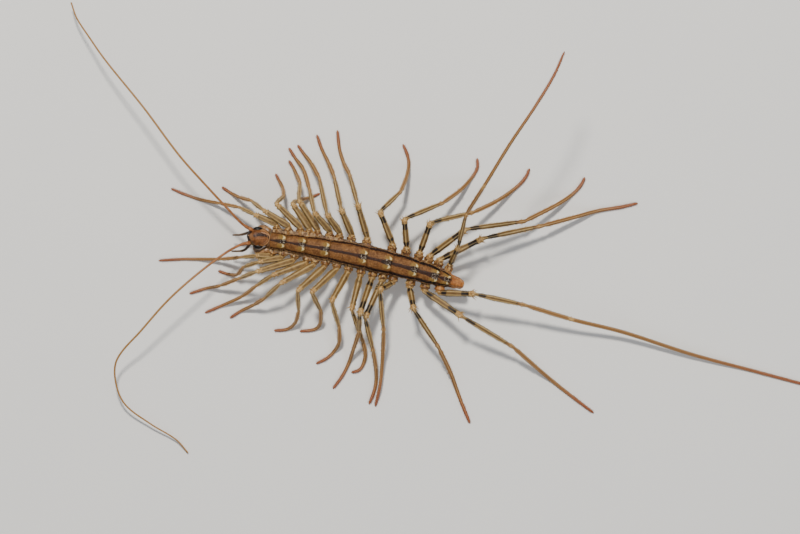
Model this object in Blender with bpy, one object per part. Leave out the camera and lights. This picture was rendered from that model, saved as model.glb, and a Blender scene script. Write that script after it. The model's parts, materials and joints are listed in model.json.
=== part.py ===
"""House centipede standing on a level floor, at life size, with its head towards -X.

The trunk is eight lengths, each with its back plate, between a round head and a short tail.
Fifteen pairs of legs grow from its sides, and their feet lie flat on the floor at Z = 0.
"""
import math
import random

import bmesh
import bpy
import numpy
from mathutils import Matrix, Vector
from mathutils.geometry import intersect_point_line

MM = 0.001  # the sizes below are in millimetres
GAP = 0.3  # between pieces that touch in life
HIP_GAP = 0.42  # the same at a hip, where the trunk's wall is not quite level

# Trunk: the middle line seen from above, and the width over the plates' edges
CENTRE_X = (-28.8, -25.5, -20.8, -14.3, -7.4, -3.9, 0.4)
CENTRE_Y = (-1.2, -1.6, -2.4, -3.6, -5.2, -6.4, -7.7)
WIDTH_X = (-25.6, -23.6, -21.2, -17.5, -12.4, -7.8, -4.0, -2.6, -1.5, 0.5)
WIDTHS = (2.3, 2.15, 2.5, 2.8, 3.15, 3.0, 2.6, 2.1, 1.5, 0.8)
TRUNK_ENDS = (-25.6, -23.6, -20.9, -17.7, -12.6, -9.3, -5.8, -3.0, -1.4)
BELLY_HEIGHT = 3.2
FLAT_HEIGHT = 1.9  # height of a trunk of no width
HEIGHT_PER_WIDTH = 0.3
SIDE_WALL = 0.82  # where the legs grow, as a share of the half width
TRUNK_OUTLINE = (
    (0.50, 0.00),
    (0.76, 0.16),
    (SIDE_WALL, 0.30),
    (SIDE_WALL, 0.52),
    (1.00, 0.57),
    (1.00, 0.68),
    (0.80, 0.86),
    (0.42, 0.97),
)
PLATE_STEPS = ((0.0, 0.92, 0.95), (0.15, 0.99, 0.98), (0.5, 1.0, 1.0), (0.86, 1.01, 1.03), (1.0, 0.95, 1.03))

# Tail: shares of its length, of its width and of its height, front to back
TAIL_TIP = 0.55
TAIL_STEPS = ((0.0, 0.92, 0.80), (0.35, 0.95, 0.76), (0.75, 0.85, 0.62), (1.0, 0.50, 0.40))

# Head: an ellipsoid, cut flat where it meets the trunk, with a socket for each eye
HEAD_PLACE = Vector((-27.2, -1.33, 4.85))
HEAD_HALF = Vector((1.75, 1.55, 1.1))
LIP_PLACE = Vector((-28.6, -1.25, 4.75))
LIP_HALF = Vector((0.5, 0.5, 0.35))
EYE_OUT = 1.2
EYE_BACK = 0.1
EYE_UP = 0.2
EYE_HALF = Vector((0.55, 0.42, 0.48))
SOCKET_GAP = 0.33  # the flat facets of a socket come nearer to the eye than its points

# Feelers, palps and poison claws: points on the way out, from the root on the head or trunk
FEELER_ROOT = {"r": Vector((-0.62, 0.75, 0.2)), "l": Vector((-0.78, -0.6, 0.2))}
FEELER_ROUTE = {
    "r": ((-29.3, 0.5, 5.6), (-31.2, 2.5, 6.6), (-33.8, 5.3, 7.4), (-37.7, 9.7, 8.2), (-42.4, 16.0, 8.0),
          (-47.7, 22.5, 6.2), (-50.0, 25.7, 4.8), (-51.8, 28.4, 3.4), (-52.6, 30.52, 2.6)),
    "l": ((-29.5, -2.3, 5.5), (-31.6, -3.4, 6.2), (-35.4, -6.3, 7.4), (-39.2, -9.7, 7.4), (-42.9, -13.8, 6.2),
          (-46.2, -17.6, 4.4), (-46.6, -20.5, 3.0), (-45.4, -23.8, 2.0), (-42.0, -26.5, 1.3),
          (-38.5, -28.7, 0.7), (-36.9, -30.5, 0.3)),
}
FEELER_SPLIT = 4  # the point where the base length ends
FEELER_RADIUS = 0.26
FEELER_TURN = 2.0  # how far from each point its bend begins
FEELER_STALK = 0.5  # straight out from the head before the feeler bends
PALP_STALK = 0.35
PALP_RADIUS = 0.26
CLAW_RADIUS = 0.32
PALP_ROOT ={"r": Vector((-0.62, 0.5, -0.6)), "l": Vector((-0.62, -0.5, -0.6))}
PALP_ROUTE = {
    "r": ((-29.6, -0.9, 3.2), (-30.8, -0.95, 2.7)),
    "l": ((-29.2, -3.0, 3.5), (-30.9, -3.15, 2.9)),
}
CLAW_ROOT_OUT = 0.55
CLAW_ROOT_HEIGHT = 3.5
CLAW_ROUTE = ((-26.5, 0.65, 3.35), (-27.0, 1.5, 3.1), (-27.7, 1.6, 2.9), (-28.3, 0.9, 2.7), (-28.4, 0.3, 2.7))

# Legs: the place of the hip along the trunk, then knee, shin end, ankle and the points of the
# foot, which lie on the floor where no height is given
HIP_HEIGHT = 4.15
FOOT_HEIGHT = 0.21
TIP_HEIGHT = 0.1
LEGS = {
    "r01": (-24.9, (-27.7, 1.8, 5.6), (-29.8, 2.8, 3.8), (-32.7, 3.4, 1.4), (-35.2, 3.9), (-37.3, 4.6), (-39.2, 5.4)),
    "r02": (-23.3, (-26.5, 2.4, 6.2), (-28.2, 3.7, 3.6), (-29.9, 4.2, 1.4), (-31.1, 4.8), (-32.3, 5.6)),
    "r03": (-21.8, (-24.8, 3.3, 6.4), (-23.8, 4.3, 4.0), (-24.0, 5.5, 1.6), (-24.6, 6.6), (-25.0, 7.4)),
    "r04": (-20.6, (-22.6, 3.3, 6.2), (-21.9, 3.7, 3.6), (-21.0, 4.0, 1.2), (-20.2, 4.2), (-19.0, 4.7)),
    "r05": (-19.5, (-21.7, 3.7, 7.0), (-21.6, 6.1, 3.6), (-22.1, 7.2, 1.6), (-22.7, 8.4), (-23.2, 9.2)),
    "r06": (-17.9, (-19.6, 2.0, 7.4), (-20.3, 5.2, 4.2), (-21.2, 8.0, 1.5), (-22.3, 9.5), (-23.2, 10.9)),
    "r07": (-16.6, (-17.9, 1.8, 7.2), (-19.0, 6.8, 3.4), (-20.2, 8.9, 1.3), (-21.3, 10.3), (-22.0, 11.3)),
    "r08": (-15.0, (-16.0, 2.5, 7.4), (-17.0, 7.0, 3.6), (-17.8, 8.9, 1.6), (-18.7, 10.7), (-19.4, 12.7)),
    "r09": (-13.0, (-13.8, 3.2, 7.6), (-14.9, 7.2, 3.8), (-15.7, 8.8, 1.8), (-16.3, 10.7), (-16.6, 13.3)),
    "r10": (-9.6, (-10.8, 2.2, 7.0), (-8.0, 4.9, 4.4), (-7.2, 7.0, 2.0), (-6.9, 8.7), (-7.1, 10.0), (-7.7, 11.4)),
    "r11": (-7.8, (-7.5, 1.2, 7.0), (-2.3, 3.4, 4.0), (0.0, 5.1, 1.8), (1.6, 6.8), (2.4, 8.2), (2.4, 9.5)),
    "r12": (-6.1, (-4.0, 0.7, 6.8), (1.8, 2.1, 4.2), (4.9, 3.6, 1.8), (7.4, 5.3), (8.9, 6.8), (9.5, 8.1)),
    "r13": (-4.8, (0.7, -0.2, 6.4), (8.7, 0.9, 3.6), (13.2, 3.2, 1.4), (15.4, 4.7), (16.5, 5.9), (17.0, 6.9)),
    "r14": (-3.5, (3.1, -1.4, 5.6), (11.1, 0.3, 3.4), (15.6, 1.5, 1.5), (18.9, 2.4), (22.0, 2.9), (24.2, 3.4)),
    "r15": (-2.0, (-0.3, -2.6, 9.2), (0.7, 1.8, 13.8), (3.1, 5.6, 18.3), (6.4, 11.0, 20.8), (9.5, 15.6, 21.8),
            (12.0, 19.7, 21.5), (13.5, 23.0, 20.4)),
    "l01": (-25.0, (-27.5, -3.75, 4.9), (-29.6, -3.95, 3.6), (-32.6, -4.2, 1.3), (-35.9, -4.2), (-37.8, -4.2),
            (-40.9, -4.4)),
    "l02": (-23.6, (-27.1, -4.6, 5.9), (-29.3, -5.3, 4.0), (-30.2, -6.3, 1.8), (-31.4, -6.25), (-32.8, -5.8)),
    "l03": (-22.0, (-27.4, -5.9, 6.9), (-29.8, -6.8, 4.2), (-32.5, -7.8, 1.6), (-34.5, -8.2), (-36.7, -8.9)),
    "l04": (-20.3, (-25.3, -6.4, 5.5), (-27.5, -7.8, 4.0), (-29.6, -9.3, 1.6), (-32.5, -10.6), (-34.6, -11.5)),
    "l05": (-19.2, (-24.2, -7.5, 6.4), (-26.5, -9.6, 3.6), (-27.9, -10.4, 1.8), (-29.8, -11.3), (-31.2, -12.2)),
    "l06": (-17.8, (-21.9, -8.5, 6.6), (-21.8, -11.3, 3.4), (-22.3, -12.8, 1.4), (-23.4, -13.7), (-25.2, -13.9)),
    "l07": (-16.2, (-20.0, -8.7, 7.0), (-18.8, -11.2, 3.8), (-18.9, -12.8, 1.4), (-19.6, -13.7), (-21.7, -14.0)),
    "l08": (-14.6, (-17.3, -9.9, 7.2), (-16.3, -13.5, 3.6), (-16.4, -15.6, 1.4), (-17.2, -16.9), (-18.1, -17.7),
            (-19.5, -18.4)),
    "l09": (-12.9, (-14.6, -11.0, 6.4), (-13.1, -15.4, 1.8), (-12.8, -17.0, 0.8), (-13.1, -18.5), (-13.7, -19.3),
            (-14.7, -19.6)),
    "l10": (-11.3, (-13.5, -11.6, 7.6), (-13.6, -14.0, 4.8), (-14.4, -16.4, 2.0), (-15.1, -18.4), (-15.9, -20.0),
            (-17.2, -21.8)),
    "l11": (-9.9, (-12.8, -12.1, 5.7), (-11.7, -16.7, 3.2), (-11.4, -18.8, 1.4), (-11.35, -20.9), (-11.7, -22.4),
            (-12.3, -23.9)),
    "l12": (-8.5, (-10.8, -8.3, 7.6), (-10.3, -13.9, 4.6), (-10.4, -16.6, 2.4), (-10.55, -19.0, 1.2),
            (-10.8, -21.3, 0.95), (-11.45, -24.2)),
    "l13": (-6.2, (-6.3, -10.9, 7.0), (-2.9, -16.1, 4.0), (-1.2, -19.7, 1.5), (-0.3, -22.2), (0.5, -24.3),
            (1.4, -26.5)),
    "l14": (-4.3, (0.2, -11.9, 6.8), (7.2, -16.1, 3.8), (10.4, -18.9, 1.6), (12.9, -21.0), (15.7, -23.2),
            (18.2, -25.1)),
    "l15": (-2.4, (1.9, -8.9, 6.2), (8.7, -10.4, 5.2), (15.3, -12.4, 3.6), (22.1, -14.1, 2.2), (31.4, -17.1, 1.0),
            (40.7, -19.6), (52.68, -22.8)),
}
# Thickness of a leg, as radii: at its root, then into and out of coxa, knee, shin end and ankle
ROOT_RADIUS = 0.34
JOINT_RADII = ((0.40, 0.38), (0.44, 0.32), (0.36, 0.28), (0.31, 0.27))
STOUT_FIRST = 0.87  # the first pair's thickness as a share of these, with what each pair adds
STOUT_STEP = 0.012
FOOT_RADIUS = 0.26
TIP_RADIUS = 0.12
COXA_OUT = 0.55
COXA_LEAN = 0.25
JOINT_TURN = 0.45  # how far from a joint its bend begins
TURN_SHARE = 0.42  # the most of a straight run that a bend may take
SHARP_BEND = 0.35  # radians, beyond which a bend gets a middle ring
FOOT_TURN = 1.5
SIDES = {"r": 1, "l": -1}

# Spurs: cones that lean out just before the knee, the shin's end and the ankle, each placed by its
# turn in degrees round the limb from the limb's level side
SPUR_TURNS = ((15, 90, 165), (20, 160), (20, 160))
SPUR_TURN_SPREAD = 12
SPUR_LEAN = math.radians(42)
SPUR_LENGTH = 1.15  # from the limb's middle line
SPUR_LENGTH_SPREAD = 0.12
SPUR_RADIUS = 0.22
SPUR_TIP_RADIUS = 0.04
SPUR_CLEAR = 0.46  # from its middle line to any other limb's surface
SPUR_FLANK = 0.7  # where along a spur its clearance is tested as well as at its tip
SPUR_TRIES = 6  # each with a wider spread, before a spur with no room is left out


def make_material(name, colour, roughness):
    """A plain finish for one kind of piece."""
    made = bpy.data.materials.new(name)
    made.use_nodes = True
    shader = made.node_tree.nodes["Principled BSDF"]
    shader.inputs["Base Color"].default_value = (*colour, 1)
    shader.inputs["Roughness"].default_value = roughness
    return made


def add_object(name, mesh, material):
    """Puts a finished mesh in the animal's collection."""
    made = bpy.data.objects.new(name, mesh)
    mesh.materials.clear()
    mesh.materials.append(material)
    mesh.shade_smooth()
    mesh.set_sharp_from_angle(angle=math.radians(40))
    animal.objects.link(made)
    return made


def finish_mesh(bm, name):
    """Closes the open rims, turns the faces out and writes the mesh in metres."""
    bmesh.ops.holes_fill(bm, edges=bm.edges, sides=0)
    bmesh.ops.recalc_face_normals(bm, faces=bm.faces)
    bmesh.ops.scale(bm, vec=(MM, MM, MM), verts=bm.verts)
    mesh = bpy.data.meshes.new(name)
    bm.to_mesh(mesh)
    bm.free()
    return mesh


def trunk_heading(x):
    """Angle of the middle line to X, seen from above."""
    return math.atan(CENTRE.deriv()(x))


def trunk_half_width(x):
    return float(numpy.interp(x, WIDTH_X, WIDTHS)) / 2


def beside_middle(x, out, height):
    """A point at the given height, out to the animal's right of the middle line at x."""
    heading = trunk_heading(x)
    across = Vector((-math.sin(heading), math.cos(heading), 0))
    return Vector((x, CENTRE(x), height)) + across * out, across


def trunk_section(x, wide, high):
    """Frame of the cross-section at x, in which the outline has unit half width and height."""
    half_width = trunk_half_width(x)
    height = FLAT_HEIGHT + HEIGHT_PER_WIDTH * 2 * half_width
    place = Matrix.Translation((x, CENTRE(x), BELLY_HEIGHT))
    turn = Matrix.Rotation(trunk_heading(x), 4, "Z")
    return place @ turn @ Matrix.Diagonal((1, half_width * wide, height * high, 1))


def loft(name, outline, frames):
    """Runs a closed outline through a row of frames and closes both ends."""
    bm = bmesh.new()
    ring = [bm.verts.new(frames[0] @ Vector((0, y, z))) for y, z in outline]
    edges = [bm.edges.new(pair) for pair in zip(ring, ring[1:] + ring[:1])]
    for before, after in zip(frames, frames[1:]):
        grown = bmesh.ops.extrude_edge_only(bm, edges=edges)["geom"]
        verts = [item for item in grown if isinstance(item, bmesh.types.BMVert)]
        edges = [item for item in grown if isinstance(item, bmesh.types.BMEdge) and item.is_boundary]
        bmesh.ops.transform(bm, matrix=after @ before.inverted(), verts=verts)
    return finish_mesh(bm, name)


def build_trunk():
    """Eight lengths of body with the plate that covers each, and the tail behind them."""
    outline = [*TRUNK_OUTLINE, (0, 1)] + [(-y, z) for y, z in reversed(TRUNK_OUTLINE)]
    for number, (front, back) in enumerate(zip(TRUNK_ENDS, TRUNK_ENDS[1:]), 1):
        length = back - GAP - front
        frames = [trunk_section(front + share * length, wide, high) for share, wide, high in PLATE_STEPS]
        add_object(f"trunk_{number}", loft("trunk", outline, frames), plate_brown)
    start = TRUNK_ENDS[-1]
    length = TAIL_TIP - start
    frames = [trunk_section(start + share * length, wide, high) for share, wide, high in TAIL_STEPS]
    add_object("tail", loft("tail", outline, frames), tail_orange)


def ellipsoid(name, place, half, segments, rings):
    bm = bmesh.new()
    bmesh.ops.create_uvsphere(bm, u_segments=segments, v_segments=rings, radius=1)
    bmesh.ops.scale(bm, vec=half, verts=bm.verts)
    bmesh.ops.translate(bm, vec=place, verts=bm.verts)
    return finish_mesh(bm, name)


def keep_largest(bm):
    """Drops every loose surface but the one with the most faces."""
    left = set(bm.faces)
    largest = set()
    while left:
        reached = {left.pop()}
        front = list(reached)
        while front:
            around = {near for edge in front.pop().edges for near in edge.link_faces} & left
            left -= around
            reached |= around
            front.extend(around)
        largest = max(largest, reached, key=len)
    stray = [face for face in bm.faces if face not in largest]
    bmesh.ops.delete(bm, geom=stray, context="FACES")


def combine(base, others, operation):
    """Joins other meshes to an object, or cuts them from it, and applies the result."""
    pieces = bpy.data.collections.new("pieces")
    bpy.context.scene.collection.children.link(pieces)
    for mesh in others:
        pieces.objects.link(bpy.data.objects.new("piece", mesh))
    boolean = base.modifiers.new("combine", "BOOLEAN")
    boolean.operation = operation
    boolean.operand_type = "COLLECTION"
    boolean.collection = pieces
    boolean.solver = "EXACT"
    evaluated = base.evaluated_get(bpy.context.evaluated_depsgraph_get())
    joined = bpy.data.meshes.new_from_object(evaluated)
    base.modifiers.clear()
    for piece in list(pieces.objects):
        bpy.data.objects.remove(piece)
    bpy.data.collections.remove(pieces)
    bm = bmesh.new()
    bm.from_mesh(joined)
    keep_largest(bm)
    bm.to_mesh(joined)
    bm.free()
    base.data = joined


def build_head():
    """The head with its lip, cut parallel to the first trunk length, and the two eyes."""
    head = add_object("head", ellipsoid("head", HEAD_PLACE, HEAD_HALF, 20, 12), plate_brown)
    combine(head, [ellipsoid("lip", LIP_PLACE, LIP_HALF, 10, 6)], "UNION")
    sockets = []
    for side, sign in SIDES.items():
        place = HEAD_PLACE + Vector((EYE_BACK, sign * EYE_OUT, EYE_UP))
        wide = EYE_HALF + Vector((SOCKET_GAP, SOCKET_GAP, SOCKET_GAP))
        sockets.append(ellipsoid("socket", place, wide, 12, 8))
        add_object(f"eye_{side}", ellipsoid("eye", place, EYE_HALF, 12, 8), eye_black)
    combine(head, sockets, "DIFFERENCE")
    neck = TRUNK_ENDS[0] - GAP
    away = Vector((math.cos(trunk_heading(neck)), math.sin(trunk_heading(neck)), 0))
    bm = bmesh.new()
    bm.from_mesh(head.data)
    plane = Vector((neck, CENTRE(neck), 0)) * MM
    bmesh.ops.bisect_plane(
        bm, geom=[*bm.verts, *bm.edges, *bm.faces], plane_co=plane, plane_no=away, clear_outer=True
    )
    bmesh.ops.holes_fill(bm, edges=bm.edges, sides=0)
    bm.to_mesh(head.data)
    bm.free()


def bent_path(joints):
    """Rings along straight runs with short turns, from (place, radius in, radius out, reach)."""
    rings = [(joints[0][0], joints[0][2])]
    for (before, *_), (corner, thick_in, thick_out, reach), (after, *_) in zip(joints, joints[1:], joints[2:]):
        to_before = before - corner
        to_after = after - corner
        start = corner + to_before.normalized() * min(reach, TURN_SHARE * to_before.length)
        end = corner + to_after.normalized() * min(reach, TURN_SHARE * to_after.length)
        rings.append((start, thick_in))
        if to_before.angle(-to_after) > SHARP_BEND:
            rings.append(((start + end) / 4 + corner / 2, (thick_in + thick_out) / 2))
        rings.append((end, thick_out))
    rings.append((joints[-1][0], joints[-1][1]))
    return rings


def tube_mesh(name, rings):
    """A tube through the rings with flat caps, six-sided as the legs' ridges are."""
    curve = bpy.data.curves.new(name, "CURVE")
    curve.dimensions = "3D"
    curve.bevel_depth = MM
    curve.bevel_resolution = 1
    curve.use_fill_caps = True
    spline = curve.splines.new("POLY")
    spline.points.add(len(rings) - 1)
    for point, (place, radius) in zip(spline.points, rings):
        point.co = (*(place * MM), 1)
        point.radius = radius
    guide = bpy.data.objects.new(name, curve)
    bpy.context.scene.collection.objects.link(guide)
    evaluated = guide.evaluated_get(bpy.context.evaluated_depsgraph_get())
    mesh = bpy.data.meshes.new_from_object(evaluated)
    bpy.data.objects.remove(guide)
    bm = bmesh.new()
    bm.from_mesh(mesh)
    bmesh.ops.remove_doubles(bm, verts=bm.verts, dist=1e-6)
    bmesh.ops.recalc_face_normals(bm, faces=bm.faces)
    bm.to_mesh(mesh)
    bm.free()
    return mesh


def cut_at_floor(made):
    """Takes off what is below the floor, which leaves the flats that the animal rests on."""
    bm = bmesh.new()
    bm.from_mesh(made.data)
    bmesh.ops.bisect_plane(
        bm, geom=[*bm.verts, *bm.edges, *bm.faces], plane_co=(0, 0, 0), plane_no=(0, 0, 1), clear_inner=True
    )
    bmesh.ops.holes_fill(bm, edges=bm.edges, sides=0)
    bm.to_mesh(made.data)
    bm.free()


def add_limb(name, joints, material):
    """A limb through its joints, whose straight lengths are noted for its neighbours' spurs."""
    lengths[name] = [
        (before[0], after[0], max(before[2], after[1])) for before, after in zip(joints, joints[1:])
    ]
    return add_object(name, tube_mesh(name, bent_path(joints)), material)


def head_root(direction):
    """Where a limb starts on the head: its root, one gap off the surface, and the way out."""
    direction = direction.normalized()
    surface = HEAD_PLACE + HEAD_HALF * direction
    out = Vector(d / h for d, h in zip(direction, HEAD_HALF)).normalized()
    return surface + GAP * out, out


def soft_joints(places, thick, tip):
    """Joints for a limb of even thickness that bends all along and tapers at its end."""
    joints = [(place, thick, thick, FEELER_TURN) for place in places]
    joints[-1] = (places[-1], tip, tip, 0)
    return joints


def build_feeler(side):
    """A feeler as two lengths, which meet over one gap."""
    root, out = head_root(FEELER_ROOT[side])
    places = [root, root + FEELER_STALK * out] + [Vector(place) for place in FEELER_ROUTE[side]]
    split = FEELER_SPLIT + 2
    run = (places[split] - places[split - 1]).normalized()
    base = places[:split] + [places[split] - GAP * run]
    tip = [places[split], places[split] + run] + places[split + 1:]
    add_limb(f"antenna_{side}_base", soft_joints(base, FEELER_RADIUS, FEELER_RADIUS), feeler_tan)
    add_limb(f"antenna_{side}_tip", soft_joints(tip, FEELER_RADIUS, TIP_RADIUS), feeler_tan)


def build_mouth_limbs(side, sign):
    """The palp under the head's front edge and the poison claw that grows from the first trunk length."""
    root, out = head_root(PALP_ROOT[side])
    places = [root, root + PALP_STALK * out] + [Vector(place) for place in PALP_ROUTE[side]]
    add_limb(f"palp_{side}", soft_joints(places, PALP_RADIUS, TIP_RADIUS), leg_tan)
    start = TRUNK_ENDS[0] - GAP
    route = ((start, CLAW_ROOT_OUT, CLAW_ROOT_HEIGHT), *CLAW_ROUTE)
    places = [beside_middle(x, sign * out, height)[0] for x, out, height in route]
    joints = [(place, CLAW_RADIUS, CLAW_RADIUS, JOINT_TURN) for place in places]
    joints[-1] = (places[-1], TIP_RADIUS, TIP_RADIUS, 0)
    add_limb(f"forcipule_{side}", joints, leg_tan)


def leg_joints(side, stout, hip, places):
    """The joints of one leg, from its flat root beside the trunk's wall to its tip."""
    out = SIDES[side] * (trunk_half_width(hip) * SIDE_WALL + HIP_GAP)
    root, across = beside_middle(hip, out, HIP_HEIGHT)
    away = SIDES[side] * across
    knee, shin, ankle, *foot = (Vector((*place, FOOT_HEIGHT)[:3]) for place in places)
    if len(places[-1]) == 2:
        foot[-1].z = TIP_HEIGHT
    lean = (knee - root).to_2d().normalized().to_3d()
    coxa = root + away * COXA_OUT + lean * COXA_LEAN
    joints = [(root, ROOT_RADIUS * stout, ROOT_RADIUS * stout, 0)]
    for place, (thick_in, thick_out) in zip((coxa, knee, shin, ankle), JOINT_RADII):
        joints.append((place, max(thick_in * stout, FOOT_RADIUS), max(thick_out * stout, FOOT_RADIUS), JOINT_TURN))
    joints += [(place, FOOT_RADIUS, FOOT_RADIUS, FOOT_TURN) for place in foot[:-1]]
    joints.append((foot[-1], TIP_RADIUS, TIP_RADIUS, 0))
    return joints


def spur_mesh(root, tip):
    """A four-sided cone that grows from a point inside the limb."""
    turn = (tip - root).to_track_quat("Z", "Y").to_matrix().to_4x4()
    bm = bmesh.new()
    bmesh.ops.create_cone(
        bm, cap_ends=True, segments=4, radius1=SPUR_RADIUS, radius2=SPUR_TIP_RADIUS,
        depth=(tip - root).length, matrix=Matrix.Translation((root + tip) / 2) @ turn,
    )
    return finish_mesh(bm, "spur")


def stays_clear(point, around):
    """Whether a point keeps a spur's distance from the surface of every length around it."""
    for start, end, radius in around:
        share = intersect_point_line(point, start, end)[1]
        nearest = start.lerp(end, min(max(share, 0), 1))
        if (point - nearest).length < radius + SPUR_CLEAR:
            return False
    return True


def place_spur(draw, corner, run, turn, around):
    """Root and tip of one spur near a joint, turned a little further each time it has no room."""
    side = run.cross(Vector((0, 0, 1))).normalized()
    length = SPUR_LENGTH + draw.uniform(-SPUR_LENGTH_SPREAD, SPUR_LENGTH_SPREAD)
    root = corner - run * JOINT_TURN
    for attempt in range(1, SPUR_TRIES + 1):
        spread = attempt * SPUR_TURN_SPREAD
        turned = math.radians(turn + draw.uniform(-spread, spread))
        out = side * math.cos(turned) + side.cross(run) * math.sin(turned)
        tip = root + (run * math.cos(SPUR_LEAN) + out * math.sin(SPUR_LEAN)) * length
        if stays_clear(tip, around) and stays_clear(root.lerp(tip, SPUR_FLANK), around):
            return root, tip
    return None


def add_spurs(made, joints):
    """Fuses the spurs of one leg to it, round the far ends of its three stout lengths."""
    draw = random.Random(made.name)
    around = [length for name, own in lengths.items() if name != made.name for length in own]
    spurs = []
    for (before, *_), (corner, *_), turns in zip(joints[1:], joints[2:], SPUR_TURNS):
        run = (corner - before).normalized()
        spurs += [place_spur(draw, corner, run, turn, around) for turn in turns]
    spurs = [spur for spur in spurs if spur]
    combine(made, [spur_mesh(*spur) for spur in spurs], "UNION")
    lengths[made.name] += [(root, tip, SPUR_RADIUS / 2) for root, tip in spurs]


for old in list(bpy.data.objects):
    bpy.data.objects.remove(old)
animal = bpy.data.collections.new("house_centipede")
bpy.context.scene.collection.children.link(animal)
lengths = {}  # the straight lengths of every limb: both ends and the radius

CENTRE = numpy.polynomial.Polynomial.fit(CENTRE_X, CENTRE_Y, 3)
plate_brown = make_material("plate_brown", (0.30, 0.13, 0.05), 0.35)
tail_orange = make_material("tail_orange", (0.48, 0.17, 0.05), 0.35)
leg_tan = make_material("leg_tan", (0.42, 0.28, 0.12), 0.45)
feeler_tan = make_material("feeler_tan", (0.38, 0.18, 0.06), 0.5)
eye_black = make_material("eye_black", (0.02, 0.01, 0.01), 0.15)

build_trunk()
build_head()
for side, sign in SIDES.items():
    build_feeler(side)
    build_mouth_limbs(side, sign)
legs = []
for name, (hip, *places) in LEGS.items():
    stout = STOUT_FIRST + STOUT_STEP * (int(name[1:]) - 1)
    joints = leg_joints(name[0], stout, hip, places)
    legs.append((add_limb(f"leg_{name}", joints, leg_tan), joints))
for made, joints in legs:
    add_spurs(made, joints)
    cut_at_floor(made)
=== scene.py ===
import json
import math
import random

import bmesh
import bpy
import numpy
from mathutils import Matrix, Vector, noise
from mathutils.geometry import interpolate_bezier

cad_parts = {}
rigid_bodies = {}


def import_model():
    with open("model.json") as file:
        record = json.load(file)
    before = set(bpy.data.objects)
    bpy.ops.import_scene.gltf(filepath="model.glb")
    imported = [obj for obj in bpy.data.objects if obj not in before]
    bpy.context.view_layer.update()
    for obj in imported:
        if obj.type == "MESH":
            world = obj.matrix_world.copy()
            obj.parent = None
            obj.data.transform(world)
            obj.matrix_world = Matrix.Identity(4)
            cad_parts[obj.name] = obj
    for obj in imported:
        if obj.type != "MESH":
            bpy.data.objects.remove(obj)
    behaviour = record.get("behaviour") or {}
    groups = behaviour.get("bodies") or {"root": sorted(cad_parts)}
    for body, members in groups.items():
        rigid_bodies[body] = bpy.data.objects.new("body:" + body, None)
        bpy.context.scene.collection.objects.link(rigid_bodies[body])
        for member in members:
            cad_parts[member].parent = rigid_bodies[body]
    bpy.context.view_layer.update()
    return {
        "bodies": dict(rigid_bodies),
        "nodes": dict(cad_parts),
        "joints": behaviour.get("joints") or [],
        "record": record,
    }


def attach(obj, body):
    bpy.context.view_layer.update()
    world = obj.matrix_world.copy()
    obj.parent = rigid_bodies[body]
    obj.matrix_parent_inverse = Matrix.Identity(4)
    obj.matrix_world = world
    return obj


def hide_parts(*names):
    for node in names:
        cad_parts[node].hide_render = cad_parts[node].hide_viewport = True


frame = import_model()

# Camera: straight above the animal, far enough away that the raised legs hardly spread. Lengths in
# this file are in millimetres and become metres where a mesh is finished.
MM = 0.001
VIEW_CENTRE = Vector((-8.1, -5.27, 4.0))
VIEW_DISTANCE = 600
camera = bpy.data.objects.new("camera", bpy.data.cameras.new("camera"))
camera.location = (VIEW_CENTRE + Vector((0, 0, VIEW_DISTANCE))) * MM
camera.data.lens = 200
camera.data.sensor_width = 36
camera.data.clip_start = 0.01
bpy.context.scene.collection.objects.link(camera)
bpy.context.scene.camera = camera


# Light: one small soft box high up on the animal's right, which throws short shadows to its left,
# a wide weak one from the other side, and a pale surround.
def add_light(name, place, size, power, colour):
    light = bpy.data.lights.new(name, "AREA")
    light.size = size * MM
    light.energy = power
    light.color = colour
    lamp = bpy.data.objects.new(name, light)
    lamp.location = place * MM
    lamp.rotation_euler = (VIEW_CENTRE - place).to_track_quat("-Z", "Y").to_euler()
    bpy.context.scene.collection.objects.link(lamp)


add_light("key_light", Vector((-60, 210, 450)), 50, 2.45, (1.0, 0.95, 0.86))
add_light("fill_light", Vector((260, -300, 330)), 400, 0.65, (0.96, 0.98, 1.0))
surround = bpy.data.worlds.new("surround")
surround.use_nodes = True
surround.node_tree.nodes["Background"].inputs["Color"].default_value = (0.92, 0.95, 1.0, 1)
surround.node_tree.nodes["Background"].inputs["Strength"].default_value = 0.3
bpy.context.scene.world = surround


# Floor: a plain pale board, part of the stage and not of the model. The two classes below write
# every finish in this file: a number in a material, and the material itself.
class Amount:
    """A number that a material works out, so that masks can be written as sums."""

    def __init__(self, finish, socket):
        self.finish = finish
        self.socket = socket

    def work(self, operation, *others):
        inputs = dict(enumerate((self, *others)))
        return self.finish.node("ShaderNodeMath", {"operation": operation}, inputs)

    def __add__(self, other):
        return self.work("ADD", other)

    def __sub__(self, other):
        return self.work("SUBTRACT", other)

    def __rsub__(self, other):
        return self.work("MULTIPLY", -1) + other

    def __mul__(self, other):
        return self.work("MULTIPLY", other)

    def __abs__(self):
        return self.work("ABSOLUTE")

    __radd__ = __add__
    __rmul__ = __mul__

    def over(self, edge, soft):
        """0 well below the edge and 1 well above it, with a soft step between."""
        inputs = {"Value": self, "From Min": edge - soft, "From Max": edge + soft}
        return self.finish.node("ShaderNodeMapRange", {"interpolation_type": "SMOOTHSTEP"}, inputs)


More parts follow.
